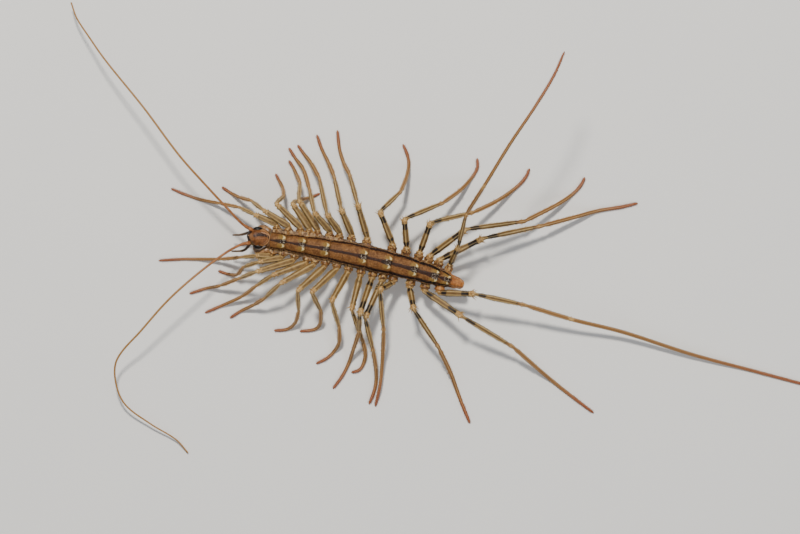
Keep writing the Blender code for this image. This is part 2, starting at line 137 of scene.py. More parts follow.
class Finish:
    """A material for one kind of surface, with distances in millimetres."""

    def __init__(self, name, roughness, **steady):
        self.material = bpy.data.materials.new(name)
        self.material.use_nodes = True
        self.tree = self.material.node_tree
        self.shader = self.tree.nodes["Principled BSDF"]
        self.shader.inputs["Roughness"].default_value = roughness
        for socket, value in steady.items():
            self.shader.inputs[socket.replace("_", " ")].default_value = value
        place = self.node("ShaderNodeTexCoord", {}, {}, "Object")
        self.place = self.node("ShaderNodeVectorMath", {"operation": "SCALE"}, {0: place, "Scale": 1 / MM})

    def node(self, kind, settings, inputs, output=0):
        made = self.tree.nodes.new(kind)
        for name, value in settings.items():
            setattr(made, name, value)
        for key, value in inputs.items():
            if isinstance(value, Amount):
                self.tree.links.new(value.socket, made.inputs[key])
            else:
                made.inputs[key].default_value = value
        return Amount(self, made.outputs[output])

    def noise(self, scale, detail=2.0, stretch=(1, 1, 1)):
        place = self.node("ShaderNodeVectorMath", {"operation": "MULTIPLY"}, {0: self.place, 1: stretch})
        return self.node("ShaderNodeTexNoise", {}, {"Vector": place, "Scale": scale, "Detail": detail})

    def axis(self, letter):
        return self.node("ShaderNodeSeparateXYZ", {}, {0: self.place}, letter)

    def mark(self, name):
        return self.node("ShaderNodeAttribute", {"attribute_name": name}, {}, "Fac")

    def blend(self, share, under, over):
        return self.node("ShaderNodeMix", {"data_type": "RGBA"}, {0: share, 6: under, 7: over}, 2)

    def finish(self, colour, roughness=None, height=None, depth=0.02):
        """Feeds the surface: its colour, where it is rough, and its relief of the given depth."""
        self.tree.links.new(colour.socket, self.shader.inputs["Base Color"])
        if roughness:
            self.tree.links.new(roughness.socket, self.shader.inputs["Roughness"])
        if height:
            bump = self.node("ShaderNodeBump", {}, {"Height": height, "Distance": depth * MM})
            self.tree.links.new(bump.socket, self.shader.inputs["Normal"])


def paint(red, green, blue):
    """A colour as it looks on a screen, from 0 to 255, turned into amounts of light."""
    parts = [part / 255 for part in (red, green, blue)]
    return (*(part / 12.92 if part < 0.04 else ((part + 0.055) / 1.055) ** 2.4 for part in parts), 1)


board = Finish("floor_board", 0.6)
board.finish(board.blend(board.noise(0.05), paint(240, 240, 240), paint(244, 244, 242)))
bm = bmesh.new()
bmesh.ops.create_grid(bm, x_segments=1, y_segments=1, size=3)
floor_mesh = bpy.data.meshes.new("floor")
bm.to_mesh(floor_mesh)
bm.free()
floor_mesh.materials.append(board.material)
floor = bpy.data.objects.new("floor", floor_mesh)
bpy.context.scene.collection.objects.link(floor)


# Trunk: one soft tan skin from the neck to the tail's tip, pleated along the sides where each leg
# grows out of a swelling. It is extruded ring by ring along the middle line seen from above.
CENTRE_X = (-28.8, -25.5, -20.8, -14.3, -7.4, -3.9, 0.4)
CENTRE_Y = (-1.2, -1.6, -2.4, -3.6, -5.2, -6.4, -7.7)
WIDTH_X = (-25.6, -23.6, -21.2, -17.5, -12.4, -7.8, -4.0, -2.6, -1.5, 0.5)
WIDTHS = (2.3, 2.15, 2.5, 2.8, 3.15, 3.0, 2.6, 2.1, 1.5, 0.8)
CENTRE = numpy.polynomial.Polynomial.fit(CENTRE_X, CENTRE_Y, 3)
BELLY_HEIGHT = 3.2
HIP_HEIGHT = 4.15
HIPS = {
    "r": (-24.9, -23.3, -21.8, -20.6, -19.5, -17.9, -16.6, -15.0,
          -13.0, -9.6, -7.8, -6.1, -4.8, -3.5, -2.0),
    "l": (-25.0, -23.6, -22.0, -20.3, -19.2, -17.8, -16.2, -14.6,
          -12.9, -11.3, -9.9, -8.5, -6.2, -4.3, -2.4),
}
TRUNK_LOW, TRUNK_RISE = 1.9, 0.6
SKIN_FRONT, SKIN_BACK, SKIN_STEP, SKIN_SIDES = -26.3, 0.56, 0.09, 72
SKIN_TAPER_X = (-26.3, -25.4, -1.6, -0.6, 0.1, 0.4, 0.56)
SKIN_TAPER = (0.6, 1.0, 0.84, 0.8, 0.76, 0.56, 0.2)
SKIN_OUT = ((-26, -24, -15, -9), (0.4, 0.56, 0.56, 0.42))
SWELL_OUT, SWELL_LONG, SWELL_HIGH, SWELL_LEVEL = 0.9, 0.56, 0.7, 3.85
LUMP_SIZE, LUMP_OUT = 0.6, 0.2
SKIN_WIDE, SKIN_MIDDLE, SKIN_RISE, SKIN_SQUARE = 0.84, 0.5, 0.45, 0.7
BELLY_NARROW, PLEAT = 0.25, 0.08
ROOF_WIDE, ROOF_LOW, ROOF_RISE, ROOF_BEND = 0.97, 0.54, 0.36, 0.43


def clamp(value):
    return max(0, min(1, value))


def bell(value, width):
    """1 where the value is nought, falling smoothly to nothing at about twice the width."""
    return math.exp(-(value / width) ** 2)


def squared(part, power):
    """A side of a circle drawn out towards that of a square."""
    return math.copysign(abs(part) ** power, part)


def half_width(x):
    return float(numpy.interp(x, WIDTH_X, WIDTHS)) / 2


def trunk_height(x):
    return TRUNK_LOW + TRUNK_RISE * half_width(x)


def on_trunk(x, out, height):
    """The place at this height, out to the animal's right of the middle line at x."""
    heading = math.atan(CENTRE.deriv()(x))
    return Vector((x - out * math.sin(heading), float(CENTRE(x)) + out * math.cos(heading), height))


def new_mesh(*marks):
    """An empty mesh whose corners carry these numbers for its finish."""
    made = bmesh.new()
    made.verts.layers.int.new("turn")
    for mark in marks:
        made.verts.layers.float.new(mark)
    return made


def set_marks(bm, vert, marks):
    for name, value in marks.items():
        vert[bm.verts.layers.float[name]] = value


def loft(bm, rings, marks, closed=True):
    """Extrudes a row of edges through rings of places. Each place has its own dict of marks."""
    turn = bm.verts.layers.int["turn"]
    verts = [bm.verts.new(place) for place in rings[0]]
    for number, vert in enumerate(verts):
        vert[turn] = number
        set_marks(bm, vert, marks[0][number])
    after = verts[1:] + verts[:1] if closed else verts[1:]
    edges = [bm.edges.new(pair) for pair in zip(verts, after)]
    for ring, ring_marks in zip(rings[1:], marks[1:]):
        grown = bmesh.ops.extrude_edge_only(bm, edges=edges)["geom"]
        fresh = {item for item in grown if isinstance(item, bmesh.types.BMVert)}
        edges = [item for item in grown if isinstance(item, bmesh.types.BMEdge)]
        edges = [edge for edge in edges if set(edge.verts) <= fresh]
        for vert in fresh:
            vert.co = ring[vert[turn]]
            set_marks(bm, vert, ring_marks[vert[turn]])


def close_ends(bm):
    bmesh.ops.holes_fill(bm, edges=[edge for edge in bm.edges if edge.is_boundary], sides=0)
    bmesh.ops.recalc_face_normals(bm, faces=bm.faces)


def add_piece(name, bm, finish, slot, *nodes):
    """Makes a piece of the model from a finished mesh, which may stand for some CAD nodes."""
    if "turn" in bm.verts.layers.int:
        bm.verts.layers.int.remove(bm.verts.layers.int["turn"])
    bmesh.ops.scale(bm, vec=(MM, MM, MM), verts=bm.verts)
    mesh = bpy.data.meshes.new(name)
    bm.to_mesh(mesh)
    bm.free()
    mesh.materials.append(finish.material)
    mesh.shade_smooth()
    piece = bpy.data.objects.new(name, mesh)
    bpy.context.scene.collection.objects.link(piece)
    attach(piece, "root")
    if nodes:
        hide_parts(*nodes)


def skin_roof(x, out):
    """How high the skin may rise at this place, so that it stays under the back plates."""
    reach = min(1, abs(out) / (ROOF_WIDE * half_width(x)))
    return BELLY_HEIGHT + trunk_height(x) * (ROOF_LOW + ROOF_RISE * (1 - reach ** 2) ** ROOF_BEND)


def skin_ring(x):
    """One ring of the skin with, for each place, how deep it lies between two swellings."""
    taper = float(numpy.interp(x, SKIN_TAPER_X, SKIN_TAPER))
    fringe = float(numpy.interp(x, *SKIN_OUT))
    high = trunk_height(x)
    places = []
    marks = []
    for turn in range(SKIN_SIDES):
        side = math.cos(2 * math.pi * turn / SKIN_SIDES)
        up = math.sin(2 * math.pi * turn / SKIN_SIDES)
        wide = squared(side, SKIN_SQUARE)
        height = BELLY_HEIGHT + high * (SKIN_MIDDLE + SKIN_RISE * squared(up, SKIN_SQUARE) * taper)
        out = (SKIN_WIDE * half_width(x) + fringe) * wide * (1 - BELLY_NARROW * max(0, -up)) * taper
        hips = HIPS["r" if side > 0 else "l"]
        swell = min(1, sum(bell(x - hip, SWELL_LONG) for hip in hips))
        level = bell(height - SWELL_LEVEL, SWELL_HIGH) * min(1, 1.4 * abs(side))
        level *= clamp(-0.7 * x - 0.6)
        lump = noise.noise(Vector((x, 3 * out, 2 * height)) / LUMP_SIZE) * LUMP_OUT * abs(side)
        out += math.copysign((SWELL_OUT * swell * level + lump) * taper, side)
        height = min(height - PLEAT * (1 - swell) * max(0, -up), skin_roof(x, out))
        places.append(on_trunk(x, out, height))
        marks.append({"fold": 1 - swell})
    return places, marks


flesh = Finish("pleural_skin", 0.42, Subsurface_Weight=0.08)
tail_part = flesh.axis("X").over(-1.5, 0.4)
mottle = flesh.noise(2.6, 4.0)
streak = flesh.noise(2.2, 3.0, (3.2, 0.7, 0.7))
rearward = flesh.axis("X").over(-15, 6)
skin_colour = flesh.blend(mottle.over(0.5, 0.12), paint(112, 76, 42), paint(160, 124, 80))
skin_colour = flesh.blend(rearward * mottle.over(0.45, 0.1), skin_colour, paint(104, 64, 34))
skin_colour = flesh.blend(streak.over(0.58, 0.05) * 0.75, skin_colour, paint(206, 170, 112))
fleck = flesh.noise(4.2, 3.0).over(0.6 - rearward * 0.06, 0.05)
skin_colour = flesh.blend(fleck * 0.85, skin_colour, paint(40, 20, 12))
# Painted shade: the skin is darkened where it lies deep between two swellings, as in a crease.
painted_crease_shade = flesh.mark("fold").over(0.6, 0.3) * (0.6 + rearward * 0.35)
skin_colour = flesh.blend(painted_crease_shade, skin_colour, paint(36, 20, 12))
tail_colour = flesh.blend(flesh.noise(3.0).over(0.55, 0.12), paint(146, 84, 30), paint(184, 118, 54))
skin_colour = flesh.blend(tail_part, skin_colour, tail_colour)
flesh.finish(skin_colour, 0.34 + mottle * 0.25, flesh.noise(7.0, 3.0), 0.05)

bm = new_mesh("fold")
rings = [skin_ring(x) for x in numpy.arange(SKIN_FRONT, SKIN_BACK + 0.01, SKIN_STEP)]
loft(bm, [places for places, marks in rings], [marks for places, marks in rings])
close_ends(bm)
trunk_nodes = [f"trunk_{number}" for number in range(1, 9)]
add_piece("trunk_skin", bm, flesh, "legs", *trunk_nodes, "tail")


# Back plates: eight thin horny shields that lap backwards, each domed, notched at the back round a
# slit for breath, and set with small thorns. Brown, with three dark stripes, of which the side ones
# are partly painted shade, and pale saddles; painted glints lie on the saddles and the middle stripe.
# Each is a sheet grown row by row, which then gets its thickness.
PLATE_ENDS = (-25.6, -23.6, -20.9, -17.7, -12.6, -9.3, -5.8, -3.0, -1.4)
PLATE_LAP = 0.16
PLATE_THICK = 0.12
PLATE_COLUMNS = 48
PLATE_ROW = 0.1
PLATE_WIDE, PLATE_BULGE = 0.95, 0.06
PLATE_LIFT = ((0, 0.12, 0.75, 1), (-0.12, -0.02, 0.02, 0.1))
CORNER_FRONT, CORNER_BACK = 0.22, 0.3
NOTCH_DEEP, NOTCH_WIDE = 0.24, 0.2
RIM_RISE, DOME_RISE, DOME_BEND = 0.61, 0.39, 0.85
LIP_HIGH, LIP_WIDE = 0.07, 0.06
SADDLE_BACK, SADDLE_LONG = 0.34, 0.34
SADDLE_OUT, SADDLE_WIDE, SADDLE_HIGH = 0.56, 0.3, 0.15
SLIT_DEEP, SLIT_WIDE = 0.14, 0.12
THORN_LONG, THORN_WIDE, THORN_TIP = 0.24, 0.045, 0.12
THORNS, BACK_THORNS, RIM_THORN_STEP = 26, 24, 0.28


def plate_place(front, back, share, column):
    """A place on a plate from its share of the length and its column from -1 to 1."""
    side = math.sin(column * math.pi / 2)
    start = front + CORNER_FRONT * abs(side) ** 3
    end = back + PLATE_LAP - CORNER_BACK * abs(side) ** 5 - NOTCH_DEEP * bell(side, NOTCH_WIDE)
    x = start + share * (end - start)
    half = half_width(x) * (PLATE_WIDE + PLATE_BULGE * math.sin(math.pi * share))
    out = half * side
    rim = BELLY_HEIGHT + RIM_RISE * trunk_height(x)
    dome = DOME_RISE * trunk_height(x) * max(0, math.cos(column * math.pi / 2)) ** DOME_BEND
    lift = float(numpy.interp(share, *PLATE_LIFT))
    from_back = back - x
    saddle = bell(from_back - SADDLE_BACK, SADDLE_LONG)
    lift += SADDLE_HIGH * saddle * bell(abs(out) - SADDLE_OUT * 0.8, SADDLE_WIDE)
    lift -= SLIT_DEEP * saddle * bell(out, SLIT_WIDE)
    lift += LIP_HIGH * bell(abs(side) - 1, LIP_WIDE)
    return on_trunk(x, out, rim + dome + lift), {"out": out, "from_back": from_back, "side": abs(side)}


def add_thorn(bm, root, way, length, radius, marks):
    """A three-sided cone whose root stands a little way into the surface."""
    turn = way.to_track_quat("Z", "Y").to_matrix().to_4x4()
    way = way.normalized()
    made = bmesh.ops.create_cone(
        bm, cap_ends=True, segments=3, radius1=radius, radius2=radius * THORN_TIP, depth=length,
        matrix=Matrix.Translation(root + way * length * 0.4) @ turn,
    )
    for vert in made["verts"]:
        set_marks(bm, vert, marks)


def add_plate(number, front, back):
    bm = new_mesh("out", "from_back", "side", "rear")
    draw = random.Random(number)
    rear = {"rear": (number - 1) / 7}
    columns = [2 * step / PLATE_COLUMNS - 1 for step in range(PLATE_COLUMNS + 1)]
    rows = round((back - front) / PLATE_ROW)
    shares = [row / rows for row in range(rows + 1)]
    rings = [[plate_place(front, back, share, column) for column in columns] for share in shares]
    places = [[place for place, marks in ring] for ring in rings]
    marks = [[{**marks, **rear} for place, marks in ring] for ring in rings]
    loft(bm, places, marks, closed=False)
    bmesh.ops.recalc_face_normals(bm, faces=bm.faces)
    bmesh.ops.solidify(bm, geom=bm.faces[:], thickness=PLATE_THICK)
    bmesh.ops.recalc_face_normals(bm, faces=bm.faces)
    thorns = int(THORNS * (back - front))
    spots = [(draw.uniform(0.08, 0.98), draw.uniform(-0.96, 0.96), 0.6) for _ in range(3 * thorns)]
    for _ in range(thorns):
        spots.append((draw.uniform(0.05, 0.99), draw.choice((-1, 1)) * draw.uniform(0.74, 0.99), 1))
    for share in numpy.arange(0.1, 1, RIM_THORN_STEP / (back - front)):
        spots += [(share, -0.97, 1.2), (share, 0.97, 1.2)]
    spots += [(0.99, draw.uniform(-1, 1), 0.9) for _ in range(BACK_THORNS)]
    for share, column, size in spots:
        root, marks = plate_place(front, back, share, column)
        ahead = plate_place(front, back, share + 0.01, column)[0] - root
        across = plate_place(front, back, share, column + 0.01)[0] - root
        up = ahead.cross(across).normalized()
        outward = 0.35 * marks["side"] * math.copysign(1, column)
        way = ahead.normalized() + 0.55 * up + outward * across.normalized()
        size *= draw.uniform(0.6, 1.1)
        add_thorn(bm, root, way, THORN_LONG * size, THORN_WIDE * size, {**marks, **rear})
    add_piece(f"back_plate_{number}", bm, plates, "plates")


plates = Finish("horny_plate", 0.45, Specular_IOR_Level=0.22)
out = abs(plates.mark("out"))
from_back = plates.mark("from_back")
side = plates.mark("side")
rear = plates.mark("rear")
wander = plates.noise(1.6, 3.0)
grain = plates.noise(9.0, 3.0)
plate_colour = plates.blend(wander.over(0.5, 0.14), paint(104, 66, 32), paint(134, 91, 49))
plate_colour = plates.blend(grain.over(0.56, 0.06) * 0.7, plate_colour, paint(74, 40, 18))
plate_colour = plates.blend(plates.noise(6.0, 4.0).over(0.6, 0.05) * 0.5, plate_colour, paint(172, 128, 84))
fan_out = (out - SADDLE_OUT) * (out - SADDLE_OUT) * 5
fan_long = (from_back - 0.5) * (from_back - 0.5) * 2.2
fan = (fan_out + fan_long + (wander - 0.5) * 0.9 + (grain - 0.5) * 0.7).over(0.5, 0.7)
plate_colour = plates.blend((1 - fan) * 0.6, plate_colour, paint(156, 126, 62))
spot_out = (out - SADDLE_OUT) * (out - SADDLE_OUT) * 10
spot_back = from_back - 0.15 - spot_out * 0.3
spot = (spot_out + spot_back * spot_back * 34 + (grain - 0.5) * 1.2).over(0.7, 0.6)
plate_colour = plates.blend((1 - spot) * 0.9, plate_colour, paint(220, 196, 122))
# Painted highlight: near-white glints speckled over the pale saddle spots.
plate_colour = plates.blend((0.65 - spot) * grain.over(0.5, 0.05), plate_colour, paint(252, 244, 214))
last_plate = rear.over(0.93, 0.03)
stripe_width = 0.11 + 0.19 * (1 - abs(from_back - 0.3).over(0.75, 0.7)) + rear * 0.17
stripe_width = stripe_width + (wander - 0.5) * 0.36 - last_plate * 0.16
stripe = 1 - (out - stripe_width).over(0.0, 0.05)
stripe_colour = plates.blend(grain.over(0.56, 0.06), paint(20, 8, 6), paint(74, 36, 26))
stripe_colour = plates.blend(wander.over(0.52, 0.06) * rear * 0.6, stripe_colour, paint(54, 30, 26))
plate_colour = plates.blend(stripe * 0.95, plate_colour, stripe_colour)
glint = grain.over(0.6, 0.02) * stripe * (1 - abs(from_back - 0.35).over(0.4, 0.1))
plate_colour = plates.blend(glint, plate_colour, paint(206, 196, 176))
# Dark side stripes: partly the plates' own dark margins, partly painted shade under their edges.
ragged = (grain - 0.5) * 0.4 + (wander - 0.5) * 0.22
edge = (side + ragged).over(0.875 - rear * 0.21 + last_plate * 0.11, 0.02)
stripe_and_gap_shade_colour = plates.blend(rear.over(0.5, 0.4), paint(46, 22, 10), paint(16, 6, 5))
stripe_and_gap_shade_colour = plates.blend(plates.noise(5.0, 2.0).over(0.6, 0.04) * 0.6, stripe_and_gap_shade_colour, paint(84, 42, 30))
plate_colour = plates.blend(edge, plate_colour, stripe_and_gap_shade_colour)
rim = (side + (grain - 0.5) * 0.05).over(0.965, 0.012)
plate_colour = plates.blend(rim * 0.85, plate_colour, paint(172, 134, 90))
plate_rough = 0.6 - grain.over(0.62, 0.04) * 0.35 - stripe * 0.1
plates.finish(plate_colour, plate_rough, grain * 0.7 + wander * 0.3, 0.06)

for number, (front, back) in enumerate(zip(PLATE_ENDS, PLATE_ENDS[1:]), 1):
    add_plate(number, front - 0.05, back)


# Tail: a short orange shield over the last rings of the trunk, and the two lobes under its end, all
# of thin horn. They start as spheres, and the shield is squared, rippled and turned with the trunk.
TAIL_X, TAIL_HEIGHT = -0.5, 4.3
TAIL_HALF, TAIL_NARROW, TAIL_WAVE, TAIL_SQUARE = (0.98, 0.7, 0.6), 0.08, 0.04, 0.75
LOBE_X, LOBE_OUT, LOBE_HEIGHT = -0.7, 0.36, 3.75
LOBE_HALF = Vector((0.8, 0.36, 0.4))


def round_piece(place, half, segments, rings):
    """A mesh that starts as a sphere stretched to these half sizes."""
    made = bmesh.new()
    bmesh.ops.create_uvsphere(made, u_segments=segments, v_segments=rings, radius=1)
    bmesh.ops.scale(made, vec=half, verts=made.verts)
    bmesh.ops.translate(made, vec=place, verts=made.verts)
    return made


tail_horn = Finish("tail_horn", 0.3, Coat_Weight=0.3, Coat_Roughness=0.2)
cloud = tail_horn.noise(2.4, 3.0)
ripple = tail_horn.noise(3.0, 2.0, (3.0, 0.8, 0.8))
horn_colour = tail_horn.blend(cloud.over(0.5, 0.15), paint(146, 86, 30), paint(182, 118, 52))
horn_colour = tail_horn.blend(ripple.over(0.58, 0.06) * 0.6, horn_colour, paint(222, 174, 112))
horn_colour = tail_horn.blend(tail_horn.axis("X").over(0.3, 0.12) * 0.6, horn_colour, paint(104, 42, 22))
tail_horn.finish(horn_colour, 0.25 + cloud * 0.2, ripple, 0.04)

tail_middle = on_trunk(TAIL_X, 0, TAIL_HEIGHT)
tail_turn = Matrix.Rotation(math.atan(CENTRE.deriv()(TAIL_X)), 3, "Z")
bm = round_piece(Vector(), Vector((1, 1, 1)), 40, 24)
for vert in bm.verts:
    x, y, z = (squared(part, TAIL_SQUARE) for part in vert.co)
    long, wide, high = TAIL_HALF
    high += TAIL_WAVE * math.cos(10 * x)
    vert.co = tail_middle + tail_turn @ Vector((long * x, (wide - TAIL_NARROW * x) * y, high * z))
add_piece("tail_shield", bm, tail_horn, "tail")
for sign, letter in ((1, "r"), (-1, "l")):
    lobe = on_trunk(LOBE_X, sign * LOBE_OUT, LOBE_HEIGHT)
    add_piece(f"tail_lobe_{letter}", round_piece(lobe, LOBE_HALF, 28, 16), tail_horn, "tail")


# Head: a glossy brown shield of horn over an olive capsule with cheeks, both drawn out of spheres.
# The shield is narrower beside the eyes and has a dark lip at the front, partly painted shade, with
# a painted glint on it, a long dark mark on its right with painted glints in and beside it, and pale
# hems at the back.
HEAD_PLACE = Vector((-27.2, -1.33, 4.85))
CAPSULE_PLACE = HEAD_PLACE + Vector((0.0, -0.04, -0.24))
CAPSULE_HALF = Vector((1.5, 1.2, 0.8))
SHIELD_PLACE = HEAD_PLACE + Vector((0.07, 0.0, 0.3))
SHIELD_HALF = Vector((1.62, 1.32, 0.78))
EYE_OFFSET = Vector((-0.06, 1.13, 0.18))
EYE_HALF = Vector((0.66, 0.39, 0.46))
FRONT_X = (-1.62, -1.3, -0.9, -0.5)
FRONT_NARROW = (0.8, 0.76, 0.68, 0.97)
FRONT_ASIDE = 0.2
CHEEK_RISE, EYE_NOOK, GROOVE_DEEP, HEM_HIGH = 0.1, 0.16, 0.05, 0.06

bm = round_piece(CAPSULE_PLACE, CAPSULE_HALF, 48, 28)
for vert in bm.verts:
    forward = (CAPSULE_PLACE.x - vert.co.x) / CAPSULE_HALF.x
    aside = abs(vert.co.y - CAPSULE_PLACE.y) / CAPSULE_HALF.y
    vert.co.z += CHEEK_RISE * bell(forward - 0.55, 0.3) * aside
cheeks = Finish("head_capsule", 0.4, Subsurface_Weight=0.05)
cheek_mottle = cheeks.noise(2.2, 4.0)
cheek_colour = cheeks.blend(cheek_mottle.over(0.5, 0.15), paint(62, 46, 16), paint(116, 90, 42))
cheek_colour = cheeks.blend(cheeks.noise(4.0, 2.0).over(0.6, 0.05) * 0.7, cheek_colour, paint(62, 34, 20))
cheeks.finish(cheek_colour, 0.3 + cheek_mottle * 0.3, cheek_mottle, 0.05)
add_piece("head_capsule", bm, cheeks, "mouth", "head")

bm = round_piece(SHIELD_PLACE, SHIELD_HALF, 64, 40)
reach_layer = bm.verts.layers.float.new("reach")
for vert in bm.verts:
    over = vert.co - SHIELD_PLACE
    how_far = math.hypot(over.x / SHIELD_HALF.x, over.y / SHIELD_HALF.y)
    vert[reach_layer] = how_far
    narrow = float(numpy.interp(over.x, FRONT_X, FRONT_NARROW))
    vert.co.y = SHIELD_PLACE.y + over.y * narrow + FRONT_ASIDE * clamp(-over.x - 0.3)
    beside_eye = bell(over.x - EYE_OFFSET.x, 0.55) * (abs(over.y) / SHIELD_HALF.y) ** 2
    vert.co.y -= EYE_NOOK * beside_eye * math.copysign(1, over.y)
    groove = bell(over.y, 0.1) * clamp(0.6 + over.x)
    vert.co.z -= GROOVE_DEEP * groove * max(0, over.z)
    vert.co.z += HEM_HIGH * bell(how_far - 0.9, 0.05) * (over.x > 0)
shield = Finish("head_shield", 0.35, Specular_IOR_Level=0.35)
x = shield.axis("X") - SHIELD_PLACE.x
y = shield.axis("Y") - SHIELD_PLACE.y
shield_wander = shield.noise(1.8, 3.0)
shield_grain = shield.noise(8.0, 2.0)
reach = shield.mark("reach")
shield_colour = shield.blend(shield_wander.over(0.5, 0.15), paint(96, 54, 20), paint(132, 82, 38))
shield_colour = shield.blend(shield_grain.over(0.56, 0.06) * 0.6, shield_colour, paint(66, 34, 12))
brow = (0 - x + shield_wander * 0.4).over(1.1, 0.25)
shield_colour = shield.blend(brow * 0.5, shield_colour, paint(146, 108, 74))
bowed = 0.42 - (x - 0.2) * (x - 0.2) * 0.27 + (shield_wander - 0.5) * 0.3
mark_wide = 0.25 - x.over(0.5, 0.3) * 0.07
mark = (1 - (abs(y - bowed) - mark_wide).over(0.0, 0.05)) * (x + shield_wander * 0.5).over(-0.1, 0.08)
# The dark mark is the shield's own colour; its pale mauve flecks are painted glints.
mark_and_glint_colour = shield.blend(shield_grain.over(0.58, 0.04), paint(22, 8, 6), paint(98, 72, 64))
shield_colour = shield.blend(mark * 0.95, shield_colour, mark_and_glint_colour)
freckle = 1 - ((x + 0.55) * (x + 0.55) + (y - 0.26) * (y - 0.26)).over(0.03, 0.015)
shield_colour = shield.blend(freckle * 0.9, shield_colour, paint(40, 20, 16))
# Painted highlight: a broken arc of pale pinkish glints beside the dark mark.
painted_glint_arc = (1 - abs(y - bowed - mark_wide - 0.09).over(0.04, 0.03)) * x.over(0.35, 0.15)
painted_glint_arc = painted_glint_arc * shield_grain.over(0.42, 0.06)
shield_colour = shield.blend(painted_glint_arc * 0.8, shield_colour, paint(206, 162, 130))
hems = (1 - abs(reach - 0.9).over(0.035, 0.02)) + (1 - abs(reach - 0.74).over(0.02, 0.02)) * 0.6
shield_colour = shield.blend(hems * x.over(0.3, 0.3) * 0.75, shield_colour, paint(196, 146, 96))
# Dark front lip: partly its own dark colour, partly painted shade under the shield's front edge.
lip_and_edge_shade_mask = (reach + shield_grain * 0.1).over(0.85, 0.03) * (0 - x + y * 0.2).over(1.05, 0.1)
shield_colour = shield.blend(lip_and_edge_shade_mask, shield_colour, paint(30, 15, 12))
# Painted highlight: a small pale glint on the dark lip.
painted_lip_glint = 1 - ((x + 1.38) * (x + 1.38) + (y - 0.33) * (y - 0.33)).over(0.005, 0.003)
shield_colour = shield.blend(painted_lip_glint, shield_colour, paint(190, 150, 110))
shield_rough = 0.5 - shield_grain.over(0.6, 0.05) * 0.3 + mark * 0.2
shield.finish(shield_colour, shield_rough, shield_wander * 0.5 + shield_grain * 0.5, 0.06)
add_piece("head_shield", bm, shield, "plates")


# Eyes: two large black compound eyes of several hundred small facets, set in the sides of the head
# half under the shield, so that each shows from above as a crescent.
facets = Finish("eye_facets", 0.3, Specular_IOR_Level=0.3, Coat_Weight=0.08, Coat_Roughness=0.15)
cells = facets.node(
    "ShaderNodeTexVoronoi", {"feature": "F1"},
    {"Vector": facets.place, "Scale": 9.0, "Randomness": 0.25}, "Distance",
)
eye_colour = facets.blend(cells.over(0.4, 0.2), paint(22, 14, 12), paint(6, 4, 4))
facets.finish(eye_colour, None, 1 - cells, 0.02)
for sign, letter in ((1, "r"), (-1, "l")):
    eye = HEAD_PLACE + Vector((EYE_OFFSET.x, sign * EYE_OFFSET.y, EYE_OFFSET.z))
    add_piece(f"compound_eye_{letter}", round_piece(eye, EYE_HALF, 40, 28), facets, "eyes", f"eye_{letter}")


# Feelers: two stout root joints and then a whip of several hundred short rings each, dry and orange
# brown, thinning to a hair. One tube each, which the solids carry as two lengths.
FEELER_ROOT = {"r": Vector((-0.5, 0.78, 0.2)), "l": Vector((-0.8, -0.55, 0.2))}
FEELER_ROUTE = {
    "r": ((-29.3, 0.5, 5.6), (-31.2, 2.5, 6.6), (-33.8, 5.3, 7.4), (-37.7, 9.7, 8.2), (-42.4, 16.0, 8.0),
          (-47.7, 22.5, 6.2), (-50.0, 25.7, 4.8), (-51.8, 28.4, 3.4), (-52.6, 30.52, 2.6)),
    "l": ((-29.5, -2.25, 5.5), (-31.6, -3.4, 6.2), (-35.4, -6.3, 7.4), (-39.2, -9.7, 7.4),
          (-42.9, -13.8, 6.2), (-46.2, -17.6, 4.4), (-46.6, -20.5, 3.0), (-45.4, -23.8, 2.0),
          (-42.0, -26.5, 1.3), (-38.5, -28.7, 0.7), (-36.9, -30.5, 0.3)),
}
HEAD_HALF = Vector((1.75, 1.55, 1.1))
FEELER_RING, FEELER_SIDES, FEELER_SWELL = 0.17, 8, (0.93, 1.07)
FEELER_HAIR, FEELER_HAIR_WIDE = 0.2, 0.018
FEELER_REACH = (0, 0.5, 0.6, 1.1, 1.3, 6, 30, 62)
FEELER_THICK = (0.26, 0.28, 0.21, 0.24, 0.185, 0.165, 0.13, 0.065)


def smooth_route(points, step, before=None):
    """Places about one step apart on the smooth curve through the points."""
    ends = [before or points[0] * 2 - points[1], *points, points[-1] * 2 - points[-2]]
    route = []
    for last, start, end, after in zip(ends, ends[1:], ends[2:], ends[3:]):
        reach = (end - start).length / 3
        leave = start + (end - last).normalized() * reach
        arrive = end - (after - start).normalized() * reach
        route += interpolate_bezier(start, leave, arrive, end, max(2, round(3 * reach / step)) + 1)[:-1]
    return [*route, points[-1]]


def tube(bm, rings, sides, ridge=0.0):
    """Grows a closed tube through (centre, radius, marks), with five ridges, the first on top.

    Returns the frame of each ring: its centre, its way ahead, its level side, its upper side and
    its radius.
    """
    frames = []
    across = (rings[1][0] - rings[0][0]).cross(Vector((0, 0, 1))).normalized()
    for number, (centre, radius, marks) in enumerate(rings):
        ahead = (rings[min(number + 1, len(rings) - 1)][0] - rings[max(number - 1, 0)][0]).normalized()
        across = (across - ahead * across.dot(ahead)).normalized()
        frames.append((centre, ahead, across, across.cross(ahead), radius))
    angles = [2 * math.pi * turn / sides for turn in range(sides)]
    places = [
        [
            centre
            + (up * math.cos(angle) + across * math.sin(angle)) * radius * (1 + ridge * math.cos(5 * angle))
            for angle in angles
        ]
        for centre, ahead, across, up, radius in frames
    ]
    ridges = [{"ridge": (1 + math.cos(5 * angle)) / 2} for angle in angles]
    loft(bm, places, [[{**marks, **mark} for mark in ridges] for centre, radius, marks in rings])
    close_ends(bm)
    return frames


def beside(frame, angle):
    """The way out from a tube's middle line at this angle from its top."""
    centre, ahead, across, up, radius = frame
    return up * math.cos(angle) + across * math.sin(angle)


